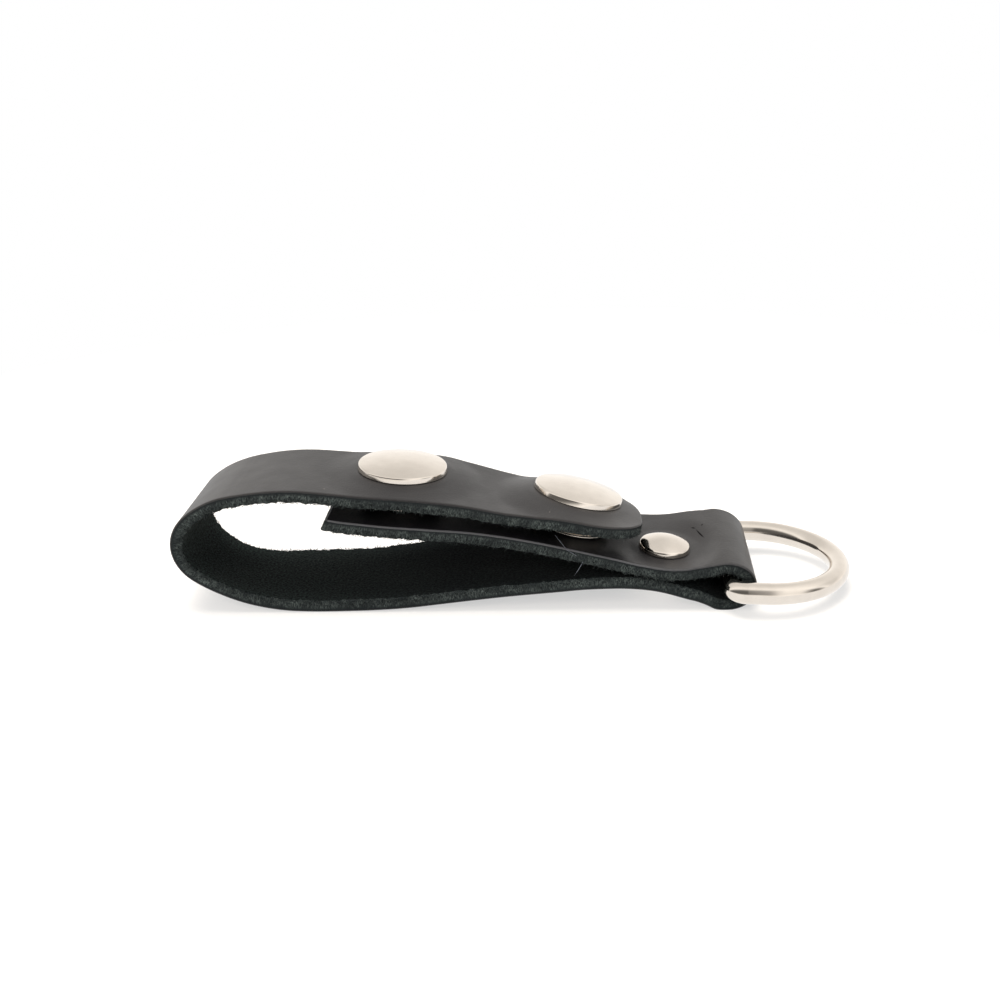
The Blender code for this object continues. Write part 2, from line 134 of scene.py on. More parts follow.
world = bpy.data.worlds.new("pale_room")
bpy.context.scene.world = world
world.use_nodes = True
room_tree = world.node_tree
room_tree.nodes.clear()
room_path = add_node(room_tree, "ShaderNodeLightPath")
room_seen = add_node(room_tree, "ShaderNodeMapRange", {
    "Value": room_path.outputs["Is Camera Ray"], "To Min": ROOM_LIGHT, "To Max": 1.0})
room_strength = add_node(room_tree, "ShaderNodeMix", {
    0: room_path.outputs["Is Glossy Ray"], 2: room_seen.outputs[0], 3: MIRRORED_ROOM})
# Mirrored in the metal, the room is dark round the camera, bright to its right, and pale overhead
# and behind. The stops run from the horizon in front, over the top, to the horizon behind.
CAMERA_SIDE = (
    (0.0, 1.0), (0.03, 0.6), (0.06, 0.14), (0.1, 0.08), (0.26, 0.1), (0.31, 0.3), (0.345, 0.75),
    (0.42, 0.88), (0.53, 0.62), (0.65, 0.6), (0.75, 0.58), (0.8, 0.64), (0.883, 0.78), (1.0, 0.86))
RIGHT_SIDE = (
    (0.0, 0.95), (0.12, 0.85), (0.25, 0.95), (0.4, 0.98), (0.55, 0.82), (0.7, 0.66), (0.883, 0.76),
    (1.0, 0.86))
TO_RIGHT = ((0.0, 0.0), (0.12, 0.0), (0.4, 1.0), (0.75, 1.0), (0.86, 0.05), (0.96, 0.0), (1.0, 1.0))
ROOM_TINT = (1, 0.98, 0.95)
room_way = add_node(room_tree, "ShaderNodeTexCoord").outputs["Generated"]
room_axes = add_node(room_tree, "ShaderNodeSeparateXYZ", {0: room_way})
to_front = add_node(room_tree, "ShaderNodeMath", {0: room_axes.outputs[1], 1: -1.0},
                    operation="MULTIPLY")
height_angle = add_node(room_tree, "ShaderNodeMath", {
    0: room_axes.outputs[2], 1: to_front.outputs[0]}, operation="ARCTAN2")
height_share = add_node(room_tree, "ShaderNodeMath", {0: height_angle.outputs[0], 1: math.pi},
                        operation="DIVIDE")
camera_side = add_node(room_tree, "ShaderNodeValToRGB", {0: height_share.outputs[0]})
fill_ramp(camera_side, CAMERA_SIDE, ROOM_TINT)
right_side = add_node(room_tree, "ShaderNodeValToRGB", {0: height_share.outputs[0]})
fill_ramp(right_side, RIGHT_SIDE, ROOM_TINT)
to_right = add_node(room_tree, "ShaderNodeValToRGB", {0: room_axes.outputs[0]})
fill_ramp(to_right, TO_RIGHT)
mirrored = add_node(room_tree, "ShaderNodeMix", {
    0: to_right.outputs[0], 6: camera_side.outputs[0], 7: right_side.outputs[0]}, data_type="RGBA")
room_colour = add_node(room_tree, "ShaderNodeMix", {
    0: room_path.outputs["Is Glossy Ray"], 6: (1, 1, 1, 1), 7: mirrored.outputs[2]},
    data_type="RGBA")
room = add_node(room_tree, "ShaderNodeBackground", {
    "Color": room_colour.outputs[2], "Strength": room_strength.outputs[0]})
add_node(room_tree, "ShaderNodeOutputWorld", {"Surface": room.outputs[0]})

paper, tree, output = new_material("white_paper")
sheet = add_node(tree, "ShaderNodeBsdfDiffuse", {"Color": linear(FLOOR_COLOUR)})
mirrored_sheet = add_node(tree, "ShaderNodeEmission", {"Color": (1, 1, 1, 1), "Strength": MIRRORED_FLOOR})
glow = add_node(tree, "ShaderNodeEmission", {"Color": (1, 1, 1, 1), "Strength": 1.0})
floor_place = add_node(tree, "ShaderNodeTexCoord").outputs["Object"]
from_middle = add_node(tree, "ShaderNodeVectorMath", {0: floor_place}, operation="LENGTH")
glow_level = add_node(tree, "ShaderNodeMapRange", {
    "Value": from_middle.outputs["Value"], "From Min": SHADOW_REACH[0],
    "From Max": SHADOW_REACH[1], "To Min": 1 - SHADOW_SHARE})
floor_path = add_node(tree, "ShaderNodeLightPath")
glow_share = add_node(tree, "ShaderNodeMath", {
    0: floor_path.outputs["Is Camera Ray"], 1: glow_level.outputs[0]}, operation="MULTIPLY")
lit_sheet = add_node(tree, "ShaderNodeMixShader", {
    0: floor_path.outputs["Is Glossy Ray"], 1: sheet.outputs[0], 2: mirrored_sheet.outputs[0]})
paper_look = add_node(tree, "ShaderNodeMixShader", {
    0: glow_share.outputs[0], 1: lit_sheet.outputs[0], 2: glow.outputs[0]})
tree.links.new(paper_look.outputs[0], output.inputs["Surface"])
bpy.ops.mesh.primitive_plane_add(size=FLOOR_SIZE)
floor = bpy.context.object
floor.name = "paper_floor"
floor.data.materials.append(paper)


def add_lamp(name, place_mm, size_mm, power):
    """A soft square lamp at a place, aimed at the strap's middle."""
    data = bpy.data.lights.new(name, "AREA")
    data.size = size_mm * MM
    data.energy = power
    data.color = linear(LAMP_WARMTH)[:3]
    lamp = bpy.data.objects.new(name, data)
    lamp.location = Vector(place_mm) * MM
    lamp.rotation_euler = (-lamp.location).to_track_quat("-Z", "Y").to_euler()
    lamp.visible_glossy = False
    bpy.context.scene.collection.objects.link(lamp)


add_lamp("top_softbox", place_mm=(-60, 60, 520), size_mm=420, power=5.0)
add_lamp("front_softbox", place_mm=(-260, -420, 330), size_mm=240, power=1.6)


# Leather strip: one strap of drum-dyed cowhide, cut square at the tail and rounded at the
# flap's tip. It is folded round the ring's bar and riveted, and turns back over itself.
STRIP_THICKNESS = 2.0 * MM
STRIP_HALF_WIDTH = 11.0 * MM
PAST_FITTINGS = 4.45 * MM
SHARP_CORNER = math.radians(60)
LONG_RUN = 3.0
ROW_SPACING = 0.26 * MM
COLUMNS = 44
EDGE_ROUND = 0.26 * MM
ROUND_STEPS = 3
EDGE_STEPS = 7
TAIL_CORNER = 0.6 * MM
TAIL_TURNS = 4
TAIL_SLANT = 1.0 * MM
SLANT_PIVOT = 0.2
TIP_NEAR_CORNER = 6.5 * MM
TIP_FAR_CORNER = 12.0 * MM
TIP_TURNS = 18
TIP_LONGER = 0.7 * MM
SEARCH_STEPS = 1500
LINE_STEPS = 3000

joints = {joint["name"]: joint for joint in frame["joints"]}
flap_hinge = Vector(joints["flap_open"]["pos_m"])


def edge_rows(name):
    """Both long sides of a CAD strip's near cut edge, as (x, z) points, leather on the right."""
    mesh = frame["nodes"][name].data
    uses = {}
    for face in mesh.polygons:
        corners = [tuple(round(c, 7) for c in mesh.vertices[i].co) for i in face.vertices]
        if all(corner[1] < -PAST_FITTINGS for corner in corners):
            for first, second in zip(corners, corners[1:] + corners[:1]):
                edge = frozenset((first, second))
                uses[edge] = uses.get(edge, 0) + 1
    beside = {}
    for first, second in (tuple(edge) for edge, count in uses.items() if count == 1):
        beside.setdefault(first, []).append(second)
        beside.setdefault(second, []).append(first)
    loop = [min(beside)]
    while len(loop) < len(beside):
        loop.append(next(point for point in beside[loop[-1]] if point not in loop))
    points = [Vector((x, z)) for x, _, z in loop]
    count = len(points)
    if sum(points[i - 1].cross(points[i]) for i in range(count)) > 0:
        points.reverse()
    steps = [points[(i + 1) % count] - points[i] for i in range(count)]
    corners = [i for i in range(count) if steps[i - 1].angle(steps[i]) > SHARP_CORNER]
    if corners[1] - corners[0] == 1:
        corners = corners[1:] + corners[:1]
    twice = points + points
    return [twice[low:(high if high > low else high + count) + 1] for low, high in
            (corners[:2], corners[2:])]


class GrainLine:
    """The strip's grain side seen from its edge, from the tail's end to the flap's tip."""

    def __init__(self, points):
        self.points = points
        steps = [there - here for here, there in zip(points, points[1:])]
        self.spans = [step.length for step in steps]
        self.lengths = [0.0, *np.cumsum(self.spans)]
        self.total = self.lengths[-1]
        ways = [step.normalized() for step in steps]
        self.ways = [ways[0]]
        for i in range(1, len(ways)):
            before, after = self.spans[i - 1], self.spans[i]
            if before > LONG_RUN * after:
                way = ways[i - 1]
            elif after > LONG_RUN * before:
                way = ways[i]
            else:
                way = (ways[i - 1] * after + ways[i] * before).normalized()
            self.ways.append(way)
        self.ways.append(ways[-1])

    def at(self, length):
        """Place on the grain side and the unit vector out of the leather there."""
        i = int(np.searchsorted(self.lengths, length, side="right")) - 1
        i = min(max(i, 0), len(self.spans) - 1)
        span = self.spans[i]
        t = (length - self.lengths[i]) / span
        start, end = self.points[i], self.points[i + 1]
        leave, arrive = self.ways[i] * span, self.ways[i + 1] * span
        place = (start * (2 * t ** 3 - 3 * t ** 2 + 1) + leave * (t ** 3 - 2 * t ** 2 + t)
                 + end * (3 * t ** 2 - 2 * t ** 3) + arrive * (t ** 3 - t ** 2))
        way = (start * (6 * t ** 2 - 6 * t) + leave * (3 * t ** 2 - 4 * t + 1)
               + end * (6 * t - 6 * t ** 2) + arrive * (3 * t ** 2 - 2 * t)).normalized()
        return place, Vector((-way.y, way.x))

    def nearest(self, point, low, high):
        """Length along the line that is nearest to a point (x, z), between two lengths."""
        samples = np.linspace(low, high, SEARCH_STEPS)
        return min(samples, key=lambda length: (self.at(length)[0] - point).length)


hinge_xz = Vector((flap_hinge.x, flap_hinge.z))
body_row = min(edge_rows("strap_body"), key=lambda row: (row[-1] - hinge_xz).length)
flap_row = min(edge_rows("strap_flap"), key=lambda row: (row[0] - hinge_xz).length)
line = GrainLine(body_row + flap_row)
samples = np.linspace(0, line.total, LINE_STEPS)
strip_end = line.total + TIP_LONGER
leftmost = min(samples, key=lambda length: line.at(length)[0].x)
rightmost = max(samples, key=lambda length: line.at(length)[0].x)


def axis_of(name):
    """A turned CAD piece's middle and axis, and its points as (radius, height) about them."""
    points = np.array([v.co for v in frame["nodes"][name].data.vertices])
    middle = points.mean(0)
    spread = np.linalg.eigh(np.cov((points - middle).T))
    axis = spread[1][:, 0]
    axis = axis if axis[2] > 0 else -axis
    heights = (points - middle) @ axis
    radii = np.linalg.norm(points - middle - np.outer(heights, axis), axis=1)
    return Vector(middle), Vector(axis), np.column_stack((radii, heights))


# The strip was bent by hand, so it isn't straight across. These are heights in mm off the CAD
# strip, by mm along it from the tail's end, at its near and far edges. The layers part beside the
# rivet, the loop leans away at its left end and the flap's tip is twisted towards the front.
NEAR_EDGE_MM = (
    (0, 0), (6, -0.15), (9, -0.3), (13, -0.28), (18.5, -0.2), (24, -0.02), (28, 0.08), (33, 0.25),
    (43, 0.35), (48, 0.35), (51, 0.2), (55, -0.12), (57.5, 0), (59, 0.25), (60.4, 0.75),
    (61.7, 1.1), (63, 1.0), (64.5, 0.4), (66, 0), (70, -0.1), (76, -0.1), (79.2, 0), (81, 0.7),
    (83, 1.25), (85, 1.2), (87.5, 0.95), (89.5, 0.45), (91.5, 0.05), (95, -0.1), (100, 0.08),
    (106, 0.05), (115, -0.15), (123, -0.17), (131, -0.1), (139, -0.12), (147, -0.1), (151, -0.15),
    (155, -0.3), (159, -0.5), (163, -0.72), (167.4, -0.6), (172.7, -0.1), (175.7, 0.2), (179, 0.2),
    (183, 0), (186, -0.18), (191, -0.38), (201, -0.3), (206, -0.35), (211, -0.5), (216, -0.66),
    (225, -0.62), (230, -0.77), (235, -1.0), (240, -0.6), (244.5, -0.22), (249.4, 0), (254, 0.65),
    (258, 1.0))
FAR_EDGE_MM = (
    (0, 0), (24, 0), (40, 0.2), (50, 0.3), (53, 0.38), (55, 0.55), (57, 0.85), (59, 1.4),
    (60.2, 1.75), (61.5, 2.0), (63, 1.85), (64.1, 1.5), (65, 1.05), (66.7, 0.5), (69, 0.15),
    (76, 0), (79.2, 0), (81, 0.8), (83, 1.35), (85, 1.3), (88, 1.0), (92, 0.3), (97, 0),
    (110, -0.25), (120, -0.75), (128, -0.9), (135, -0.55), (141, -0.1), (147, 0), (150, 0.1),
    (152.5, 0.25), (155, 0.5), (157, 0.85), (159, 1.2), (161.4, 1.5), (163.6, 1.65), (166, 1.75),
    (168.7, 1.55), (172.4, 1.2), (175.7, 0.75), (179, 0.1), (182.7, -0.45), (185.5, -0.72),
    (188, -0.92), (192, -0.92), (196, -0.82), (216, -0.8), (225.5, -0.72), (227.7, -1.05),
    (230, -1.43), (232, -1.7), (234, -1.98), (236.4, -2.15), (239, -2.3), (246, -2.4), (258, -2.4))
BEND_STEP = 0.2 * MM
BEND_SOFTNESS = 1.2 * MM


def soft_curve(table_mm):
    """Heights of a table as a smooth row, one for each step along the strip."""
    steps = np.arange(0, line.total + BEND_STEP, BEND_STEP)
    knots = np.array(table_mm) * MM
    slopes = np.gradient(knots[:, 1], knots[:, 0])
    spans = np.clip(np.searchsorted(knots[:, 0], steps, side="right") - 1, 0, len(knots) - 2)
    start, end = knots[spans], knots[spans + 1]
    width = end[:, 0] - start[:, 0]
    t = np.clip((steps - start[:, 0]) / width, 0, 1)
    heights = (start[:, 1] * (2 * t ** 3 - 3 * t ** 2 + 1)
               + slopes[spans] * width * (t ** 3 - 2 * t ** 2 + t)
               + end[:, 1] * (3 * t ** 2 - 2 * t ** 3)
               + slopes[spans + 1] * width * (t ** 3 - t ** 2))
    reach = round(3 * BEND_SOFTNESS / BEND_STEP)
    weights = np.exp(-0.5 * (np.arange(-reach, reach + 1) * BEND_STEP / BEND_SOFTNESS) ** 2)
    padded = np.pad(heights, reach, mode="edge")
    return steps, np.convolve(padded, weights / weights.sum(), mode="valid")


near_curve, far_curve = soft_curve(NEAR_EDGE_MM), soft_curve(FAR_EDGE_MM)

# Fittings hold the leather flat round them, and each is pressed home, so the leather swells to
# meet its rim. The cap at the tip and the rivet were set askew, by these angles across the strip.
TIP_CAP_ROLL = math.radians(-3.8)
RIVET_ROLL = math.radians(3.0)
HOLD_SPREAD = 6.5 * MM
PRESS_RISE = 0.2 * MM
PRESS_SPREAD = 2.2 * MM
holds = []
presses = {"grain": [], "flesh": []}
for name, side, low, high in (
        ("loop_snap_cap", "grain", leftmost, line.total),
        ("tip_snap_cap", "grain", leftmost, line.total),
        ("loop_snap_socket", "flesh", leftmost, line.total),
        ("tip_snap_socket", "flesh", leftmost, line.total),
        ("loop_snap_stud", "grain", 0, rightmost), ("tip_snap_stud", "grain", 0, rightmost),
        ("loop_snap_eyelet", "flesh", 0, rightmost), ("tip_snap_eyelet", "flesh", 0, rightmost),
        ("rivet_cap", "grain", 0, rightmost), ("rivet_post", "grain", rightmost, leftmost)):
    middle, _, turned_points = axis_of(name)
    along = line.nearest(Vector((middle.x, middle.z)), low, high)
    radius = turned_points[:, 0].max()
    presses[side].append((along, middle.y, radius))
    if name.endswith(("_cap", "_stud", "_post")):
        roll = {"tip_snap_cap": TIP_CAP_ROLL, "rivet_cap": RIVET_ROLL}.get(name, 0.0)
        holds.append((along, middle.y, radius, math.tan(roll)))


def smooth_share(share):
    """A share from 0 to 1 with soft ends."""
    share = min(max(share, 0), 1)
    return share * share * (3 - 2 * share)


def bent(along, across):
    """How far the strip's whole thickness lies off the CAD strip."""
    near, far = np.interp(along, *near_curve), np.interp(along, *far_curve)
    height = near + (far - near) * (across / STRIP_HALF_WIDTH + 1) / 2
    for centre_along, centre_across, radius, slope in holds:
        gap = math.hypot(along - centre_along, across - centre_across) - radius
        held = smooth_share(1 - gap / HOLD_SPREAD)
        height += held * (slope * (across - centre_across) - height)
    return height


def pressed(side, along, across):
    """How far the leather swells towards the fittings on one of its sides."""
    rise = 0.0
    for centre_along, centre_across, radius in presses[side]:
        gap = math.hypot(along - centre_along, across - centre_across) - radius
        rise = max(rise, PRESS_RISE * smooth_share(1 - gap / PRESS_SPREAD))
    return rise


# Unevenness of the strip's surfaces, as the height, noise layer and size of each kind of lump.
GRAIN_LUMPS = ((0.02 * MM, 0, 9 * MM), (0.004 * MM, 1, 1.6 * MM))
NAP_LUMPS = ((0.05 * MM, 2, 1.1 * MM), (0.035 * MM, 3, 0.5 * MM))
TORN_LUMPS = ((0.2 * MM, 4, 0.9 * MM), (0.16 * MM, 5, 0.45 * MM))
RAGGED_BAND = 1.2 * MM
EDGE_WAVE, WAVE_SIZE, WAVE_LAYER = 0.10 * MM, 14 * MM, 7
EDGE_TEAR, TEAR_SIZE, TEAR_STRETCH = 0.09 * MM, 0.38 * MM, 0.4
EDGE_RAG, RAG_SIZE = 0.16 * MM, 0.8 * MM


def ripples(lumps, along, across):
    """Smooth noise over the strip, summed over its kinds of lump."""
    return sum(height * noise.noise(Vector((along, across, layer)) / size)
               for height, layer, size in lumps)


def grain_lift(along, across):
    """Height of the grain side above the CAD strip, with the swelling round fittings."""
    return ripples(GRAIN_LUMPS, along, across) + pressed("grain", along, across)


def flesh_lift(along, across):
    """Height of the suede flesh side: a coarse nap and the swelling round fittings."""
    at_edge = smooth_share((abs(across) - STRIP_HALF_WIDTH) / RAGGED_BAND + 1)
    ragged = ripples(TORN_LUMPS, along, across)
    return ripples(NAP_LUMPS, along, across) + at_edge * ragged + pressed("flesh", along, across)


def edge_lift(along, around, depth):
    """How far the cut edge stands out: clean at the grain, torn into loose fibres at the flesh."""
    share = depth / STRIP_THICKNESS
    wave = EDGE_WAVE * noise.noise(Vector((along / WAVE_SIZE, around / WAVE_SIZE, WAVE_LAYER)))
    torn = EDGE_TEAR * noise.noise(Vector((along, around, depth * TEAR_STRETCH)) / TEAR_SIZE)
    rag = EDGE_RAG * noise.noise(Vector((along, around, 0)) / RAG_SIZE) * share ** 3
    return wave + torn * min(3 * share, 1) + rag


def corner_half(distance, corner):
    """Half width of the flat of the strip at a distance from its end, drawn in by a round corner."""
    inset = max(corner - distance, 0)
    return STRIP_HALF_WIDTH - EDGE_ROUND - corner + math.sqrt(max(corner ** 2 - inset ** 2, 0))


def strip_rows(low, high):
    """Lengths along the strip for the mesh's rows, closer together in the tip's round corners."""
    count = math.ceil((high - low) / ROW_SPACING)
    rows = {low + (high - low) * i / count for i in range(count + 1)}
    if high > line.total:
        for reach in (TIP_NEAR_CORNER - EDGE_ROUND, TIP_FAR_CORNER - EDGE_ROUND):
            rows |= {high - reach * (1 - math.cos(math.pi / 2 * i / TIP_TURNS))
                     for i in range(TIP_TURNS)}
    if low < TAIL_CORNER:
        reach = TAIL_CORNER - EDGE_ROUND
        rows |= {low + reach * (1 - math.cos(math.pi / 2 * i / TAIL_TURNS))
                 for i in range(TAIL_TURNS)}
    return sorted(rows)


def edge_profile():
    """Points (outwards, depth) down the cut edge, round at both corners."""
    turns = [math.pi / 2 * i / ROUND_STEPS for i in range(ROUND_STEPS)]
    top = [(EDGE_ROUND * math.sin(a), EDGE_ROUND * (1 - math.cos(a))) for a in turns[1:]]
    flat = STRIP_THICKNESS - 2 * EDGE_ROUND
    side = [(EDGE_ROUND, EDGE_ROUND + flat * i / EDGE_STEPS) for i in range(EDGE_STEPS + 1)]
    bottom = [(out, STRIP_THICKNESS - depth) for out, depth in reversed(top)]
    return top + side + bottom


def in_space(along, across, lift):
    """A point of the strip, lifted off its grain side, in the CAD frame."""
    place, outward = line.at(along)
    spot = place + outward * (lift + bent(along, across))
    return Vector((spot.x, across, spot.y))


def leather_mesh(name, low, high, materials):
    """Grain side, flesh side and cut edge of a stretch of the strip, as one closed mesh."""
    tail_end, tip_end = low <= 0, high > line.total
    rows = strip_rows(low + EDGE_ROUND * tail_end, high - EDGE_ROUND * tip_end)
    mesh = bmesh.new()
    strip_layer = mesh.verts.layers.float_vector.new("strip")

    def vertex(along, across, depth, lift):
        made = mesh.verts.new(in_space(along, across, lift))
        made[strip_layer] = Vector((along, across, depth))
        return made

    flats = []
    grain, flesh = [], []
    for along in rows:
        near_half = far_half = STRIP_HALF_WIDTH - EDGE_ROUND
        if tail_end:
            near_half = far_half = corner_half(along - rows[0], TAIL_CORNER - EDGE_ROUND)
        if tip_end:
            near_half = corner_half(rows[-1] - along, TIP_NEAR_CORNER - EDGE_ROUND)
            far_half = corner_half(rows[-1] - along, TIP_FAR_CORNER - EDGE_ROUND)
        acrosses = [(near_half + far_half) * j / COLUMNS - near_half for j in range(COLUMNS + 1)]
        flats.append(acrosses)
        grain.append([vertex(along, across, 0, grain_lift(along, across)) for across in acrosses])
        flesh.append([vertex(along, across, STRIP_THICKNESS,
                             -STRIP_THICKNESS - flesh_lift(along, across)) for across in acrosses])

    def quads(sheet, material):
        for row, following in zip(sheet, sheet[1:]):
            for j in range(len(row) - 1):
                face = mesh.faces.new((row[j], row[j + 1], following[j + 1], following[j]))
                face.material_index = material

    quads(grain, 0)
    quads(flesh, 2)
    last = len(rows) - 1
    near = [(i, 0) for i in range(last + 1)]
    far = [(i, COLUMNS) for i in range(last, -1, -1)]
    if tip_end:
        rim = near + [(last, j) for j in range(1, COLUMNS)] + far
    else:
        rim = far + [(0, j) for j in range(COLUMNS - 1, 0, -1)] + near
    outline = [Vector((rows[i], flats[i][j])) for i, j in rim]
    columns = []
    for place, (i, j) in enumerate(rim):
        before, after = outline[max(place - 1, 0)], outline[min(place + 1, len(rim) - 1)]
        way = (after - before).normalized()
        out = Vector((way.y, -way.x))
        column = [grain[i][j]]
        for reach, depth in edge_profile():
            ragged = edge_lift(outline[place].x, outline[place].y, depth)
            share = depth / STRIP_THICKNESS
            slant = TAIL_SLANT * (share - SLANT_PIVOT) * max(-out.x, 0) ** 2 if tail_end else 0
            spot = outline[place] + out * (reach + slant + ragged * reach / EDGE_ROUND)
            lift = (1 - share) * grain_lift(*outline[place]) - share * flesh_lift(*outline[place])
            column.append(vertex(spot.x, spot.y, depth, lift - depth))
        columns.append(column + [flesh[i][j]])
    quads([column[:ROUND_STEPS + 1] for column in columns], 0)
    quads([column[ROUND_STEPS:] for column in columns], 1)
    seam = 0 if tip_end else last
    ring = grain[seam] + columns[-1 if tip_end else 0][1:-1] + flesh[seam][::-1]
    ring += columns[0 if tip_end else -1][1:-1][::-1]
    seam_face = mesh.faces.new(ring)
    seam_face.material_index = 1
    bmesh.ops.recalc_face_normals(mesh, faces=mesh.faces[:])
    for face in mesh.faces:
        face.smooth = face != seam_face
    data = bpy.data.meshes.new(name)
    mesh.to_mesh(data)
    mesh.free()
    piece = bpy.data.objects.new(name, data)
    for material in materials:
        data.materials.append(material)
    bpy.context.scene.collection.objects.link(piece)
    return piece


# Finished grain: black pigment under a satin top coat. It is smooth with fine pores and carries a few
# specks of dust. Along the strip it is painted lighter and glossier, then darker and duller. Part of this
# is wear where it is bent. Part is painted sheen and painted shade matched to how the light falls on each
# stretch, dark on the tail under the flap. A painted highlight, paler grey and glossier, runs along the
# tail's near grain edge. A crack and two nicks cross it at the fold.
GRAIN_BLACK = "#111114"
# Lighter grain where it shows wear and where sheen is painted on.
GRAIN_SHEEN_AND_WEAR = "#2a2929"
DUST = "#a09c96"
CRACK = "#050506"
PORE_SIZE = 0.32 * MM
CLOUD_SIZE = 3.5 * MM
# Painted highlight along the tail's near grain edge: the band's reach in from the edge, and its paler grey.
EDGE_HIGHLIGHT_BAND = (0.36 * MM, 0.16 * MM)
EDGE_HIGHLIGHT_GREY = "#3e3f42"
DUST_SPACING = 5.5 * MM
# Painted sheen and painted shade mixed with wear: how light and glossy the grain is, by share of the strip's
# length, matched to the light on each stretch.
SHEEN_AND_WEAR_ALONG = (
    (0.0, 0.06), (0.15, 0.06), (0.18, 0.2), (0.205, 0.38), (0.235, 0.62), (0.265, 0.68),
    (0.285, 0.88), (0.3, 0.9), (0.34, 0.4), (0.66, 0.45), (0.7, 0.78), (0.73, 0.72), (0.76, 0.58),
    (0.8, 0.5), (0.84, 0.42), (0.88, 0.43), (0.92, 0.5), (0.96, 0.58), (1.0, 0.68))
CRACKS_MM = ((61.8, 2.4, 24, 2.0), (60.6, 4.5, 62, 0.5), (62.6, 4.8, -50, 0.4))
CRACK_HALF_WIDTH = 0.17 * MM
DUST_EDGE = (0.024, 0.016)
CLOUD_RANGE = (0.3, 0.7)

leather_grain, tree, output = new_material("satin_black_grain")
strip_place = add_node(tree, "ShaderNodeAttribute", attribute_name="strip").outputs["Vector"]
cloud = add_node(tree, "ShaderNodeTexNoise", {"Vector": strip_place, "Scale": 1 / CLOUD_SIZE, "Detail": 5.0})
pores = add_node(tree, "ShaderNodeTexVoronoi", {"Vector": strip_place, "Scale": 1 / PORE_SIZE})
dust_cells = add_node(tree, "ShaderNodeTexVoronoi", {"Vector": strip_place, "Scale": 1 / DUST_SPACING})
dust = add_node(tree, "ShaderNodeMapRange", {
    "Value": dust_cells.outputs["Distance"], "From Min": DUST_EDGE[0], "From Max": DUST_EDGE[1]})
strip_axes = add_node(tree, "ShaderNodeSeparateXYZ", {0: strip_place})
along_share = add_node(tree, "ShaderNodeMath", {0: strip_axes.outputs[0], 1: line.total}, operation="DIVIDE")
# The ramp along the strip paints sheen and shade into the grain's colour and gloss.
sheen_and_wear_ramp = add_node(tree, "ShaderNodeValToRGB", {0: along_share.outputs[0]})
fill_ramp(sheen_and_wear_ramp, SHEEN_AND_WEAR_ALONG)
patchy = add_node(tree, "ShaderNodeMapRange", {
    "Value": cloud.outputs["Fac"], "From Min": CLOUD_RANGE[0], "From Max": CLOUD_RANGE[1],
    "To Min": 0.96, "To Max": 1.04})
sheen_and_wear = add_node(tree, "ShaderNodeMath", {0: sheen_and_wear_ramp.outputs[0], 1: patchy.outputs[0]}, operation="MULTIPLY",
                use_clamp=True)
shade = add_node(tree, "ShaderNodeMix", {0: sheen_and_wear.outputs[0], 6: linear(GRAIN_BLACK), 7: linear(GRAIN_SHEEN_AND_WEAR)},
                 data_type="RGBA")
dusty = add_node(tree, "ShaderNodeMix", {0: dust.outputs[0], 6: shade.outputs[2], 7: linear(DUST)},
                 data_type="RGBA")
colour = dusty.outputs[2]
dulls = []
for along, across, turn, half_length in CRACKS_MM:
    on_crack = add_node(tree, "ShaderNodeMapping", {
        "Vector": strip_place, "Location": (along * MM, across * MM, 0),
        "Rotation": (0, 0, math.radians(turn))}, vector_type="TEXTURE")
    shape = add_node(tree, "ShaderNodeVectorMath", {
        0: on_crack.outputs[0], 1: (1 / CRACK_HALF_WIDTH, 1 / (half_length * MM), 0)},
        operation="MULTIPLY")
    off_crack = add_node(tree, "ShaderNodeVectorMath", {0: shape.outputs[0]}, operation="LENGTH")
    in_crack = add_node(tree, "ShaderNodeMapRange", {"Value": off_crack.outputs["Value"], "From Min": 1.0,
                                                     "From Max": 0.5})
    dull = add_node(tree, "ShaderNodeMath", {0: 1.0, 1: in_crack.outputs[0]}, operation="SUBTRACT")
    dulls.append(dull.outputs[0])
    colour = add_node(tree, "ShaderNodeMix", {0: in_crack.outputs[0], 6: colour, 7: linear(CRACK)},
                      data_type="RGBA").outputs[2]
gloss = add_node(tree, "ShaderNodeMapRange", {
    "Value": cloud.outputs["Fac"], "From Min": CLOUD_RANGE[0], "From Max": CLOUD_RANGE[1],
    "To Min": 0.46, "To Max": 0.42})
# Painted highlight: a band along the tail's near grain edge is painted paler grey and glossier.
from_edge = add_node(tree, "ShaderNodeMath", {0: strip_axes.outputs[1]}, operation="ABSOLUTE")
edge_highlight = add_node(tree, "ShaderNodeMapRange", {
    "Value": from_edge.outputs[0], "From Min": STRIP_HALF_WIDTH - EDGE_HIGHLIGHT_BAND[0],
    "From Max": STRIP_HALF_WIDTH - EDGE_HIGHLIGHT_BAND[1]})
on_tail = add_node(tree, "ShaderNodeMapRange", {"Value": strip_axes.outputs[0], "From Min": rightmost,
                                                "From Max": 0.7 * rightmost})
tail_edge_highlight = add_node(tree, "ShaderNodeMath", {0: edge_highlight.outputs[0], 1: on_tail.outputs[0]},
                     operation="MULTIPLY")
colour = add_node(tree, "ShaderNodeMix", {0: tail_edge_highlight.outputs[0], 6: colour, 7: linear(EDGE_HIGHLIGHT_GREY)},
                  data_type="RGBA").outputs[2]
shiny = add_node(tree, "ShaderNodeMath", {0: sheen_and_wear.outputs[0], 1: tail_edge_highlight.outputs[0]}, operation="MAXIMUM")
glint = add_node(tree, "ShaderNodeMapRange", {
    "Value": shiny.outputs[0], "To Min": 0.1, "To Max": 0.55}).outputs[0]
for dull in dulls:
    glint = add_node(tree, "ShaderNodeMath", {0: glint, 1: dull}, operation="MULTIPLY").outputs[0]
pore_bump = add_node(tree, "ShaderNodeBump", {"Height": pores.outputs["Distance"], "Strength": 0.35,
                                              "Distance": 0.05 * MM})
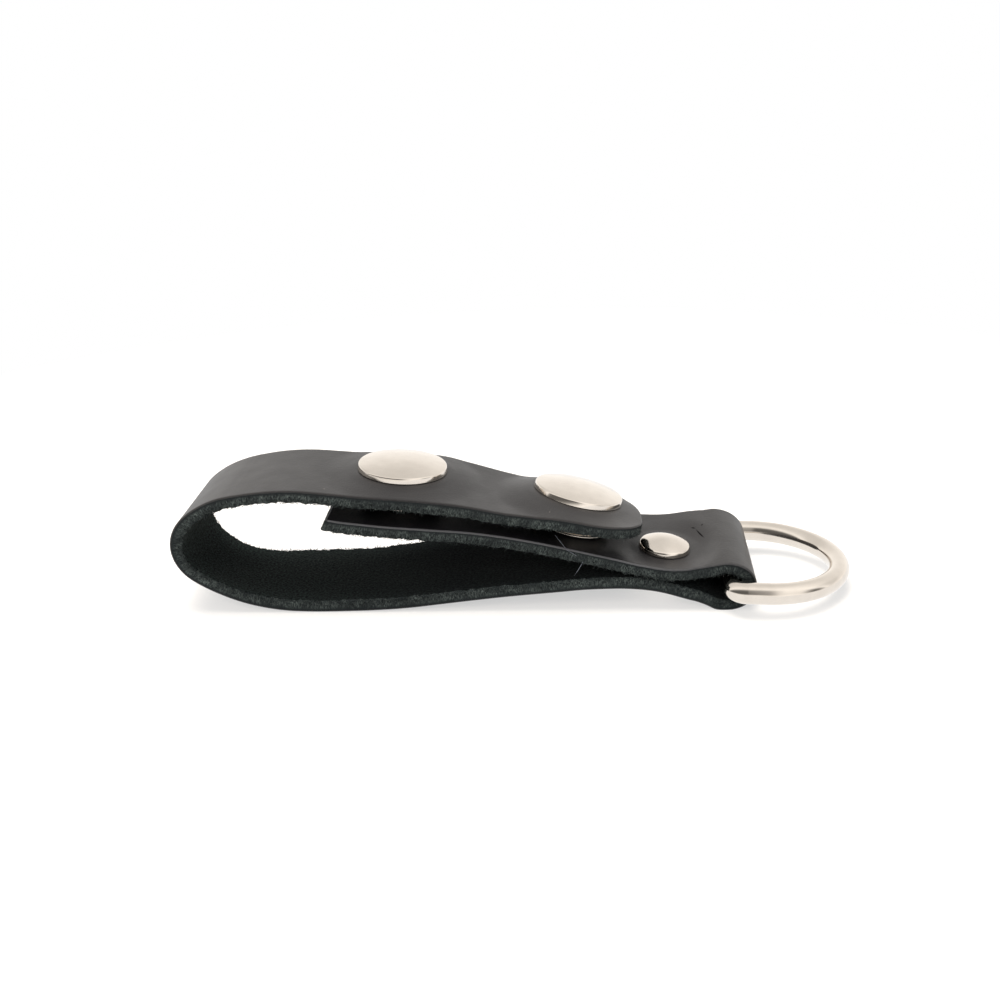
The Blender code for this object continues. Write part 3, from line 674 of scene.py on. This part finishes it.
grain_shader = add_node(tree, "ShaderNodeBsdfPrincipled", {
    "Base Color": colour, "Roughness": gloss.outputs[0], "Normal": pore_bump.outputs[0],
    "Specular IOR Level": glint})
tree.links.new(grain_shader.outputs[0], output.inputs["Surface"])

# Cut edge: the knife leaves the hide's fibres bare, so the edge is matt and speckled with paler
# fibre ends that run through the thickness. The dense layer under the grain cuts smooth and dark.
FIBRE_DARK = "#181c1e"
FIBRE_PALE = "#646e6c"
FIBRE_WIDTH = 0.15 * MM
FIBRE_LENGTH = 0.45 * MM
TUFT_SIZE = 2.2 * MM
DENSE_LAYER = (0.4 * MM, 0.8 * MM)

leather_edge, tree, output = new_material("raw_leather_edge")
strip_place = add_node(tree, "ShaderNodeAttribute", attribute_name="strip").outputs["Vector"]
stretch = add_node(tree, "ShaderNodeVectorMath", {
    0: strip_place, 1: (1 / FIBRE_WIDTH, 1 / FIBRE_WIDTH, 1 / FIBRE_LENGTH)}, operation="MULTIPLY")
fibres = add_node(tree, "ShaderNodeTexNoise", {"Vector": stretch.outputs[0], "Scale": 1.0, "Detail": 4.0,
                                               "Roughness": 0.6})
tufts = add_node(tree, "ShaderNodeTexNoise", {
    "Vector": strip_place, "Scale": 1 / TUFT_SIZE, "Detail": 2.0})
tuft_level = add_node(tree, "ShaderNodeMapRange", {
    "Value": tufts.outputs["Fac"], "From Min": CLOUD_RANGE[0], "From Max": CLOUD_RANGE[1],
    "To Min": 0.2, "To Max": 1.0})
strip_axes = add_node(tree, "ShaderNodeSeparateXYZ", {0: strip_place})
loose = add_node(tree, "ShaderNodeMapRange", {"Value": strip_axes.outputs[2], "From Min": DENSE_LAYER[0],
                                              "From Max": DENSE_LAYER[1], "To Min": 0.06})
fibre_level = add_node(tree, "ShaderNodeMapRange", {"Value": fibres.outputs["Fac"], "From Min": 0.42,
                                                    "From Max": 0.78})
tuft_share = add_node(tree, "ShaderNodeMath", {0: fibre_level.outputs[0], 1: tuft_level.outputs[0]},
                      operation="MULTIPLY")
pale = add_node(tree, "ShaderNodeMath", {0: tuft_share.outputs[0], 1: loose.outputs[0]}, operation="MULTIPLY")
edge_colour = add_node(tree, "ShaderNodeMix", {
    0: pale.outputs[0], 6: linear(FIBRE_DARK), 7: linear(FIBRE_PALE)}, data_type="RGBA")
edge_bump = add_node(tree, "ShaderNodeBump", {"Height": fibres.outputs["Fac"], "Strength": 0.8,
                                              "Distance": 0.12 * MM})
edge_shader = add_node(tree, "ShaderNodeBsdfPrincipled", {
    "Base Color": edge_colour.outputs[2], "Roughness": 0.9, "Normal": edge_bump.outputs[0],
    "Specular IOR Level": 0.12})
tree.links.new(edge_shader.outputs[0], output.inputs["Surface"])

# Flesh side: brushed suede, dyed through. Its short nap is dull and almost black. Its paler fibres
# are painted down to 35 % up to 125 mm along, as painted shade inside the loop, and show fully past
# 172 mm, at the loop's left end.
NAP_DARK = "#050609"
NAP_PALE = "#384340"
NAP_SIZE = 0.4 * MM
# Painted shade inside the loop: the span along the strip over which the nap goes from shaded to full.
LOOP_SHADE_SPAN = (125 * MM, 172 * MM)

leather_flesh, tree, output = new_material("black_suede_flesh")
strip_place = add_node(tree, "ShaderNodeAttribute", attribute_name="strip").outputs["Vector"]
nap = add_node(tree, "ShaderNodeTexNoise", {"Vector": strip_place, "Scale": 1 / NAP_SIZE, "Detail": 5.0,
                                            "Roughness": 0.65})
nap_pale = add_node(tree, "ShaderNodeMapRange", {
    "Value": nap.outputs["Fac"], "From Min": 0.4, "From Max": 0.75})
strip_axes = add_node(tree, "ShaderNodeSeparateXYZ", {0: strip_place})
# Painted shade: the nap's pale fibres are dimmed up to 125 mm along the strip, inside the loop.
loop_shade = add_node(tree, "ShaderNodeMapRange", {"Value": strip_axes.outputs[0], "From Min": LOOP_SHADE_SPAN[0],
                                                 "From Max": LOOP_SHADE_SPAN[1], "To Min": 0.35})
nap_share = add_node(tree, "ShaderNodeMath", {0: nap_pale.outputs[0], 1: loop_shade.outputs[0]},
                     operation="MULTIPLY")
nap_colour = add_node(tree, "ShaderNodeMix", {
    0: nap_share.outputs[0], 6: linear(NAP_DARK), 7: linear(NAP_PALE)}, data_type="RGBA")
nap_bump = add_node(tree, "ShaderNodeBump", {"Height": nap.outputs["Fac"], "Strength": 0.8,
                                             "Distance": 0.15 * MM})
flesh_shader = add_node(tree, "ShaderNodeBsdfPrincipled", {
    "Base Color": nap_colour.outputs[2], "Roughness": 0.95, "Normal": nap_bump.outputs[0],
    "Specular IOR Level": 0.03, "Sheen Weight": 0.015, "Sheen Roughness": 0.5})
tree.links.new(flesh_shader.outputs[0], output.inputs["Surface"])

leathers = (leather_grain, leather_edge, leather_flesh)
strap_leather = leather_mesh("strap_leather", 0, leftmost, leathers)
flap_leather = leather_mesh("flap_leather", leftmost, strip_end, leathers)
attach(strap_leather, "strap")
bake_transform(flap_leather)
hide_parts("strap_body")
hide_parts("strap_flap")

# Loose fibres: short ends of hide that stand out of the cut edges, mostly at the flesh side, and
# two long pale ones that were dragged out of the tail's edge under the flap's tip.
FUZZ_SPACING = 0.075 * MM
FUZZ_LENGTH = (0.2 * MM, 0.75 * MM)
FUZZ_THICKNESS = (0.025 * MM, 0.055 * MM)
FUZZ_SEED = 11


def add_fibre(mesh, layer, strip_spot, path, radius):
    """A three-sided thread along a path, drawn to a point."""
    rings = []
    for i, spot in enumerate(path[:-1]):
        way = (path[i + 1] - spot).normalized()
        aside = way.orthogonal().normalized()
        across_way = way.cross(aside)
        thin = radius * (1 - 0.5 * i / len(path))
        turns = [math.tau * k / 3 for k in range(3)]
        rings.append([mesh.verts.new(spot + thin * (aside * math.cos(a) + across_way * math.sin(a)))
                      for a in turns])
    point = mesh.verts.new(path[-1])
    for ring in rings:
        for corner in ring:
            corner[layer] = strip_spot
    point[layer] = strip_spot
    mesh.faces.new(rings[0][::-1])
    for first, second in zip(rings, rings[1:]):
        for k in range(3):
            mesh.faces.new((first[k], first[(k + 1) % 3], second[(k + 1) % 3], second[k]))
    for k in range(3):
        mesh.faces.new((rings[-1][k], rings[-1][(k + 1) % 3], point))


def fibre_piece(name, mesh, material):
    """Close a mesh of fibres into a piece."""
    data = bpy.data.meshes.new(name)
    mesh.to_mesh(data)
    mesh.free()
    data.shade_smooth()
    data.materials.append(material)
    piece = bpy.data.objects.new(name, data)
    bpy.context.scene.collection.objects.link(piece)
    return piece


def edge_fuzz(name, low, high):
    """Fibres along both cut edges of a stretch of the strip."""
    chance = random.Random(FUZZ_SEED)
    mesh = bmesh.new()
    layer = mesh.verts.layers.float_vector.new("strip")
    for _ in range(round(2 * (high - low) / FUZZ_SPACING)):
        along = chance.uniform(low + EDGE_ROUND, high - EDGE_ROUND)
        side = chance.choice((-1, 1))
        tip_corner = TIP_NEAR_CORNER if side < 0 else TIP_FAR_CORNER
        half = min(corner_half(along, TAIL_CORNER), corner_half(strip_end - along, tip_corner))
        half += EDGE_ROUND
        depth = STRIP_THICKNESS * (0.3 + 0.7 * chance.random() ** 0.45)
        root = in_space(along, side * half, -depth)
        flesh_way = in_space(along, side * half, -depth - MM) - root
        along_way = in_space(along + 0.1 * MM, side * half, -depth) - root
        lean = Vector((0, side, 0)) * chance.uniform(0.2, 1)
        lean += flesh_way.normalized() * chance.uniform(-0.3, 0.9)
        way = (lean + along_way.normalized() * chance.uniform(-1, 1)).normalized()
        curl = Vector([chance.uniform(-0.6, 0.6) for _ in range(3)])
        length = chance.uniform(*FUZZ_LENGTH)
        middle = root + way * length / 2
        path = [root - way * EDGE_ROUND, middle, middle + (way + curl).normalized() * length / 2]
        strip_spot = Vector((along, side * half + 3 * MM * chance.random(), STRIP_THICKNESS))
        add_fibre(mesh, layer, strip_spot, path, chance.uniform(*FUZZ_THICKNESS))
    return fibre_piece(name, mesh, leather_edge)


LONG_FIBRES_MM = (((10.6, -11.1, 9.75), (9.04, -11.6, 11.0), (8.1, -11.7, 12.4), (7.0, -11.5, 13.8)),
                  ((11.55, -11.1, 8.7), (10.74, -11.6, 7.5), (10.0, -11.7, 6.4)))
LONG_FIBRE_RADIUS = 0.06 * MM
BARE_HIDE = "#747a84"
BARE_HIDE_DARK = "#3d424b"
BARE_PATCH = 0.8 * MM

bare_fibre, tree, output = new_material("bare_hide_fibre")
fibre_place = add_node(tree, "ShaderNodeTexCoord").outputs["Object"]
fibre_dye = add_node(tree, "ShaderNodeTexNoise", {
    "Vector": fibre_place, "Scale": 1 / BARE_PATCH, "Detail": 2.0})
fibre_colour = add_node(tree, "ShaderNodeMix", {0: fibre_dye.outputs["Fac"], 6: linear(BARE_HIDE_DARK),
                                                7: linear(BARE_HIDE)}, data_type="RGBA")
fibre_shader = add_node(tree, "ShaderNodeBsdfPrincipled", {
    "Base Color": fibre_colour.outputs[2], "Roughness": 0.8})
tree.links.new(fibre_shader.outputs[0], output.inputs["Surface"])

mesh = bmesh.new()
layer = mesh.verts.layers.float_vector.new("strip")
for path_mm in LONG_FIBRES_MM:
    add_fibre(mesh, layer, Vector(), [Vector(spot) * MM for spot in path_mm], LONG_FIBRE_RADIUS)
long_fibres = fibre_piece("long_fibres", mesh, bare_fibre)
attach(long_fibres, "strap")
strap_fuzz = edge_fuzz("strap_fuzz", 0, leftmost)
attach(strap_fuzz, "strap")
flap_fuzz = edge_fuzz("flap_fuzz", leftmost, strip_end)
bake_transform(flap_fuzz)


# Snap caps, rivet caps and eyelets: pressed from thin brass and nickel plated. Each has a low
# dome whose rim is turned down to the leather, and the snap pieces have a tubular post through it.
NICKEL = "#e3dbd1"
NICKEL_DULL = "#d3cac0"
TURN_STEPS = 96
DOME_STEPS = 24
ROLL_STEPS = 10
RIM_LEAN = math.radians(10)
RIM_FOOT = 0.12 * MM
CAD_SEAT_GAP = 0.06 * MM
POST_RADIUS = 1.4 * MM
POST_BORE = 0.9 * MM
POST_FLARE = 1.9 * MM
FLARE_HEIGHT = 0.3 * MM
RIVET_ASIDE = Vector((-0.36, -0.65, 0)) * MM
HAZE_SIZE = 2.5 * MM
RUB_SIZE = 0.25 * MM
SHARP_EDGE = math.radians(40)
MERGE_GAP = 0.001 * MM

nickel, tree, output = new_material("polished_nickel_plate")
metal_place = add_node(tree, "ShaderNodeTexCoord").outputs["Object"]
haze = add_node(tree, "ShaderNodeTexNoise", {
    "Vector": metal_place, "Scale": 1 / HAZE_SIZE, "Detail": 4.0})
rub = add_node(tree, "ShaderNodeTexNoise", {
    "Vector": metal_place, "Scale": 1 / RUB_SIZE, "Detail": 2.0})
nickel_colour = add_node(tree, "ShaderNodeMix", {0: haze.outputs["Fac"], 6: linear(NICKEL),
                                                 7: linear(NICKEL_DULL)}, data_type="RGBA")
nickel_gloss = add_node(tree, "ShaderNodeMapRange", {"Value": haze.outputs["Fac"], "From Min": 0.3,
                                                     "From Max": 0.7, "To Min": 0.09, "To Max": 0.17})
nickel_bump = add_node(tree, "ShaderNodeBump", {"Height": rub.outputs["Fac"], "Strength": 0.03,
                                                "Distance": 0.01 * MM})
nickel_shader = add_node(tree, "ShaderNodeBsdfPrincipled", {
    "Base Color": nickel_colour.outputs[2], "Metallic": 1.0, "Roughness": nickel_gloss.outputs[0],
    "Normal": nickel_bump.outputs[0]})
tree.links.new(nickel_shader.outputs[0], output.inputs["Surface"])


def arc(middle, radius, start, end):
    """Points (radius, height) along an arc of a profile."""
    return [(middle[0] + radius * math.cos(angle), middle[1] + radius * math.sin(angle))
            for angle in np.linspace(start, end, ROLL_STEPS)]


def crown(radius, wall, shoulder, seat, top):
    """Profile (radius, height) of a domed cap, from the foot of its rim to its middle."""
    foot = arc((radius - RIM_FOOT, seat + RIM_FOOT), RIM_FOOT, -math.pi / 2, RIM_LEAN)
    wall_top = (foot[-1][0] - wall * math.sin(RIM_LEAN), foot[-1][1] + wall * math.cos(RIM_LEAN))
    bend = (wall_top[0] - shoulder * math.cos(RIM_LEAN), wall_top[1] - shoulder * math.sin(RIM_LEAN))
    slope = math.atan(2 * (top - bend[1] - shoulder) / bend[0])
    rim = foot + arc(bend, shoulder, RIM_LEAN, math.pi / 2 - slope)
    edge_radius, edge_height = rim[-1]
    dome = []
    for i in range(1, DOME_STEPS + 1):
        share = 1 - i / DOME_STEPS
        dome.append((edge_radius * share, edge_height + (top - edge_height) * (1 - share * share)))
    return rim + dome


def post(seat, end):
    """Profile of the tubular post from its closed root to the seat, with a rolled free end."""
    return [(0, seat), (POST_BORE, seat), (POST_BORE, end), (POST_FLARE, end),
            (POST_FLARE, end + FLARE_HEIGHT / 2), (POST_RADIUS, end + FLARE_HEIGHT), (POST_RADIUS, seat)]


def turned_piece(name, profile, middle, axis):
    """Turn a profile about an axis in the CAD frame."""
    mesh = bmesh.new()
    corners = [mesh.verts.new((radius, 0, height)) for radius, height in profile]
    edges = [mesh.edges.new(pair) for pair in zip(corners, corners[1:])]
    bmesh.ops.spin(mesh, geom=corners + edges, axis=(0, 0, 1), cent=(0, 0, 0), steps=TURN_STEPS,
                   angle=math.tau, use_merge=True)
    bmesh.ops.remove_doubles(mesh, verts=mesh.verts[:], dist=MERGE_GAP)
    bmesh.ops.recalc_face_normals(mesh, faces=mesh.faces[:])
    data = bpy.data.meshes.new(name)
    mesh.to_mesh(data)
    mesh.free()
    data.shade_smooth()
    data.set_sharp_from_angle(angle=SHARP_EDGE)
    data.transform(Matrix.Translation(middle) @ axis.to_track_quat("Z", "Y").to_matrix().to_4x4())
    piece = bpy.data.objects.new(name, data)
    bpy.context.scene.collection.objects.link(piece)
    return piece


def add_crown(node, body, wall, shoulder, has_post, upside_down=False, askew=0.0, taller=0.0,
              aside=Vector()):
    """Replace a CAD cap by a finer one of the same width, which may lean or stand taller."""
    middle, axis, points = axis_of(node)
    middle += aside
    if upside_down:
        axis = -axis
        points[:, 1] *= -1
    radius = points[:, 0].max()
    seat = points[points[:, 0] > 0.8 * radius, 1].min() - CAD_SEAT_GAP
    leaning = Matrix.Rotation(askew, 3, "X") @ axis
    middle += (axis - leaning) * seat
    axis = leaning
    profile = crown(radius, wall, shoulder, seat, points[:, 1].max() + taller)
    if has_post:
        profile = post(seat, points[:, 1].min()) + profile
    else:
        profile = [(0, seat)] + profile
    piece = turned_piece(node + "_plated", profile, middle, axis)
    piece.data.materials.append(nickel)
    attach(piece, body)
    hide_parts(node)


SNAP_RIM = (0.65 * MM, 0.35 * MM)
EYELET_RIM = (0.05 * MM, 0.15 * MM)
RIVET_RIM = (0.4 * MM, 0.6 * MM)
RIVET_BACK_RIM = (0.1 * MM, 0.3 * MM)
SNAP_TALLER = 0.15 * MM
RIVET_TALLER = 0.4 * MM
add_crown("loop_snap_cap", "flap", *SNAP_RIM, True, taller=SNAP_TALLER)
add_crown("tip_snap_cap", "flap", *SNAP_RIM, True, askew=TIP_CAP_ROLL, taller=SNAP_TALLER)
add_crown("loop_snap_eyelet", "strap", *EYELET_RIM, True, upside_down=True)
add_crown("tip_snap_eyelet", "strap", *EYELET_RIM, True, upside_down=True)
add_crown("rivet_cap", "strap", *RIVET_RIM, False, askew=RIVET_ROLL, taller=RIVET_TALLER,
          aside=RIVET_ASIDE)
add_crown("rivet_post", "strap", *RIVET_BACK_RIM, False, upside_down=True, aside=RIVET_ASIDE)


# Sockets, studs and ring springs: the working half of each press snap, hidden while it is closed.
# Sockets and studs are plated like the caps, and the split springs are bare drawn wire.
WIRE_GREY = "#8f8f91"
DRAW_MARK = 0.3 * MM
STUD_FLANGE = 6.8 * MM
FLANGE_ROUND = 0.25 * MM
STUD_HEAD = 3.0 * MM
HEAD_ROUND = 0.35 * MM
STUD_NECK = 2.6 * MM
NECK_RISE = 0.25 * MM
STUD_HOLLOW = 2.1 * MM
SOCKET_MOUTH = 3.45 * MM
SOCKET_GROOVE = 3.8 * MM
SOCKET_LIP = 0.25 * MM
SOCKET_SHEET = 0.3 * MM
DRUM_ROUND = 0.3 * MM
LIP_ROUND = 0.12 * MM

spring_steel, tree, output = new_material("drawn_spring_wire")
wire_place = add_node(tree, "ShaderNodeTexCoord").outputs["Object"]
drawn = add_node(tree, "ShaderNodeTexNoise", {
    "Vector": wire_place, "Scale": 1 / DRAW_MARK, "Detail": 3.0})
wire_gloss = add_node(tree, "ShaderNodeMapRange", {
    "Value": drawn.outputs["Fac"], "To Min": 0.25, "To Max": 0.45})
wire_shader = add_node(tree, "ShaderNodeBsdfPrincipled", {
    "Base Color": linear(WIRE_GREY), "Metallic": 1.0, "Roughness": wire_gloss.outputs[0]})
tree.links.new(wire_shader.outputs[0], output.inputs["Surface"])

for snap in ("loop_snap", "tip_snap"):
    middle, axis, points = axis_of(snap + "_stud")
    base, top = points[:, 1].min() - CAD_SEAT_GAP, points[:, 1].max()
    flange = arc((STUD_FLANGE - FLANGE_ROUND, base + FLANGE_ROUND), FLANGE_ROUND,
                 -math.pi / 2, math.pi / 2)
    head = arc((STUD_HEAD - HEAD_ROUND, top - HEAD_ROUND), HEAD_ROUND, -math.pi / 4, math.pi / 2)
    floor_level = base + 2 * FLANGE_ROUND
    profile = ([(0, base)] + flange
               + [(STUD_HEAD, floor_level), (STUD_NECK, floor_level + NECK_RISE)] + head
               + [(STUD_HOLLOW, top), (STUD_HOLLOW, floor_level), (0, floor_level)])
    stud = turned_piece(snap + "_stud_plated", profile, middle, axis)
    stud.data.materials.append(nickel)
    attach(stud, "strap")
    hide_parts(snap + "_stud")

    middle, axis, points = axis_of(snap + "_socket")
    bottom, top = points[:, 1].min(), points[:, 1].max()
    hole, outer = points[:, 0].min(), points[:, 0].max()
    lip, plate = bottom + SOCKET_LIP, top - SOCKET_SHEET
    drum = arc((outer - DRUM_ROUND, top - DRUM_ROUND), DRUM_ROUND, math.pi / 2, 0)
    drum += arc((outer - DRUM_ROUND, bottom + DRUM_ROUND), DRUM_ROUND, 0, -math.pi / 2)
    drum += arc((SOCKET_MOUTH + LIP_ROUND, bottom + LIP_ROUND), LIP_ROUND, -math.pi / 2, -math.pi)
    profile = ([(hole, plate), (hole, top)] + drum
               + [(SOCKET_MOUTH, lip), (SOCKET_GROOVE, lip), (SOCKET_GROOVE, plate), (hole, plate)])
    socket = turned_piece(snap + "_socket_plated", profile, middle, axis)
    socket.data.materials.append(nickel)
    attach(socket, "flap")
    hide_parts(snap + "_socket")

    spring = frame["nodes"][snap + "_spring"].data
    spring.materials.clear()
    spring.materials.append(spring_steel)


# D-ring: round wire bent to a straight bar and a half-round bow, butt welded in the bar, where
# the fold hides the weld, then nickel plated.
RING_WIRE = 3.5 * MM
RING_CORNER = 2.2 * MM
RING_DROOP = math.radians(2.5)
RING_LONGER = 0.35 * MM
CORNER_STEPS = 16
BOW_STEPS = 96
WIRE_ROUNDNESS = 10

bar_axis = Vector(joints["ring_swing"]["pos_m"])
_, ring_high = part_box("d_ring")
ring_half = ring_high.y - RING_WIRE / 2
ring_reach = (ring_high.x - RING_WIRE / 2 - bar_axis.x) / math.cos(RING_DROOP) + RING_LONGER
corner = [(RING_CORNER * (1 - math.cos(a)), RING_CORNER * (1 - math.sin(a)) - ring_half)
          for a in np.linspace(0, math.pi / 2, CORNER_STEPS)]
bow = [(ring_reach - ring_half + ring_half * math.cos(a), ring_half * math.sin(a))
       for a in np.linspace(-math.pi / 2, math.pi / 2, BOW_STEPS)]
ring_path = corner + bow + [(x, -y) for x, y in reversed(corner)]
ring_curve = bpy.data.curves.new("d_ring_plated", "CURVE")
ring_curve.dimensions = "3D"
ring_curve.bevel_depth = RING_WIRE / 2
ring_curve.bevel_resolution = WIRE_ROUNDNESS
spline = ring_curve.splines.new("POLY")
spline.points.add(len(ring_path) - 1)
spline.use_cyclic_u = True
spline.use_smooth = True
for point, (x, y) in zip(spline.points, ring_path):
    point.co = (x * math.cos(RING_DROOP), y, -x * math.sin(RING_DROOP), 1)
ring = bpy.data.objects.new("d_ring_plated", ring_curve)
ring.location = bar_axis
bpy.context.scene.collection.objects.link(ring)
ring_curve.materials.append(nickel)
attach(ring, "ring")
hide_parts("d_ring")
